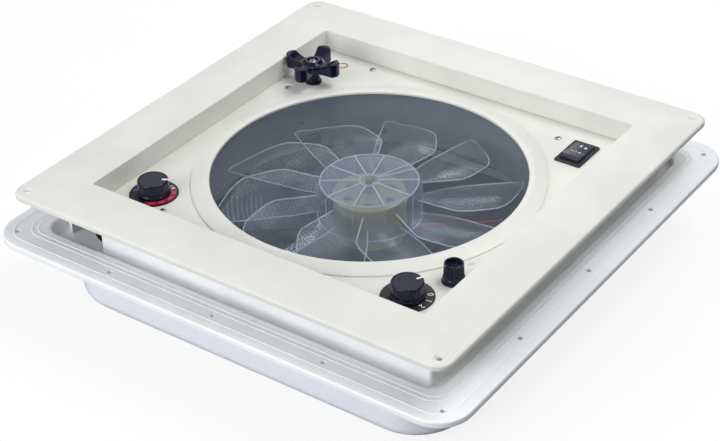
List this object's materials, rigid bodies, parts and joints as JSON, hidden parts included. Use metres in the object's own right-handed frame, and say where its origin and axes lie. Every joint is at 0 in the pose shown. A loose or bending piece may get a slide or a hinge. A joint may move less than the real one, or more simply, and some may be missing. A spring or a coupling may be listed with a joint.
{
  "type": "roof vent cover",
  "caption": "Powered roof vent for a caravan, seen room side up: screened fan, lid crank, rotary controls, switch and fuse in a square ceiling frame over a hinged lid.",
  "frame": {"origin": "centre of the closed lid's lowest face, on which the vent stands room side up", "axes": "+Z from the lid through the roof opening into the room, +X along the lid hinge, +Y towards the lid hinge; in use the vent hangs the other way up, with +Z pointing down into the room"},
  "size_m": [0.444, 0.444, 0.1105],
  "materials": {
    "white_shell": "satin",
    "ivory_trim": "satin",
    "screen_wire": "satin",
    "duct_grey": "satin",
    "clear_plastic": "clear gloss",
    "black_nylon": "matt",
    "black_gloss": "gloss",
    "black_dial": "satin",
    "steel": "brushed",
    "zinc_steel": "zinc plated",
    "yellow_zinc": "yellow zinc plate",
    "grey_steel": "satin",
    "brass": "machined",
    "fuse_glass": "clear",
    "ferrite": "matt",
    "core_iron": "machined",
    "white_nylon": "satin",
    "seal_rubber": "matt",
    "red_wire": "satin",
    "black_wire": "satin",
    "red_print": "printed"
  },
  "bodies": {
    "base": {"roof_flange": "white_shell", "weather_coaming": "white_shell", "garnish_frame": "ivory_trim", "control_panel": "ivory_trim", "panel_screws": "steel", "screen_ring": "ivory_trim", "screen_mesh": "screen_wire", "fan_duct": "duct_grey", "gearbox_housing": "black_nylon", "gearbox_cover": "black_nylon", "gearbox_screws": "steel", "crank_bush": "black_nylon", "motor_can": "yellow_zinc", "motor_end_cap": "yellow_zinc", "motor_bushes": "brass", "motor_magnets": "ferrite", "motor_bracket": "grey_steel", "bracket_screws": "steel", "motor_screws": "steel", "motor_lead_red": "red_wire", "motor_lead_black": "black_wire", "thermostat_dial": "black_dial", "speed_dial": "black_dial", "thermostat_body": "black_nylon", "speed_switch_body": "black_nylon", "fuse_holder": "black_nylon", "fuse_nut": "black_nylon", "rocker_housing": "black_nylon", "crank_label": "red_print", "base_hinge_leaf_left": "zinc_steel", "base_hinge_leaf_right": "zinc_steel", "hinge_pin_left": "steel", "hinge_pin_right": "steel"},
    "lid": {"lid_shell": "white_shell", "lid_seal": "seal_rubber", "lid_track": "black_nylon", "lid_track_screws": "steel", "lid_hinge_leaf_left": "zinc_steel", "lid_hinge_leaf_right": "zinc_steel"},
    "arm": {"lift_arm": "zinc_steel", "arm_roller": "white_nylon", "roller_pin": "steel", "arm_shaft": "steel", "worm_wheel": "brass"},
    "crank": {"crank_knob": "black_gloss", "crank_shaft": "steel", "worm": "brass", "crank_screw": "steel"},
    "fan": {"fan_rotor": "clear_plastic", "motor_armature": "core_iron", "motor_shaft": "steel", "fan_collar": "steel"},
    "thermostat_control": {"thermostat_knob": "black_gloss", "thermostat_shaft": "steel"},
    "speed_control": {"speed_knob": "black_gloss", "speed_shaft": "steel"},
    "fuse_carrier": {"fuse_cap": "black_gloss", "fuse_cartridge": "fuse_glass"},
    "rocker": {"rocker_button": "black_gloss"}
  },
  "joints": [
    {"name": "lid_hinge", "type": "hinge", "parent": "base", "child": "lid", "pos_m": [0, 0.1975, 0.059], "axis": [1, 0, 0], "range_deg": [0, 50]},
    {"name": "lift_arm_turn", "type": "hinge", "parent": "base", "child": "arm", "pos_m": [-0.1325, 0.119, 0.059], "axis": [1, 0, 0], "range_deg": [0, 100]},
    {"name": "crank_turn", "type": "hinge", "parent": "base", "child": "crank", "pos_m": [-0.1325, 0.102, 0.1], "axis": [0, 0, 1], "range_deg": [0, 2400]},
    {"name": "fan_spin", "type": "hinge", "parent": "base", "child": "fan", "pos_m": [0, 0, 0.07], "axis": [0, 0, 1], "continuous": true},
    {"name": "thermostat_turn", "type": "hinge", "parent": "base", "child": "thermostat_control", "pos_m": [-0.13, -0.121, 0.095], "axis": [0, 0, 1], "range_deg": [-150, 120]},
    {"name": "speed_turn", "type": "hinge", "parent": "base", "child": "speed_control", "pos_m": [0.1225, -0.1258, 0.095], "axis": [0, 0, 1], "range_deg": [-90, 0]},
    {"name": "fuse_cap_turn", "type": "hinge", "parent": "base", "child": "fuse_carrier", "pos_m": [0.1405, -0.09, 0.095], "axis": [0, 0, 1], "range_deg": [0, 60]},
    {"name": "rocker_tilt", "type": "hinge", "parent": "base", "child": "rocker", "pos_m": [0.1285, 0.1205, 0.086], "axis": [1, 0, 0], "range_deg": [0, 12]}
  ],
  "couplings": [
    {"joint": "lift_arm_turn", "follows": "lid_hinge", "ratio": 2},
    {"joint": "crank_turn", "follows": "lid_hinge", "ratio": 48}
  ]
}
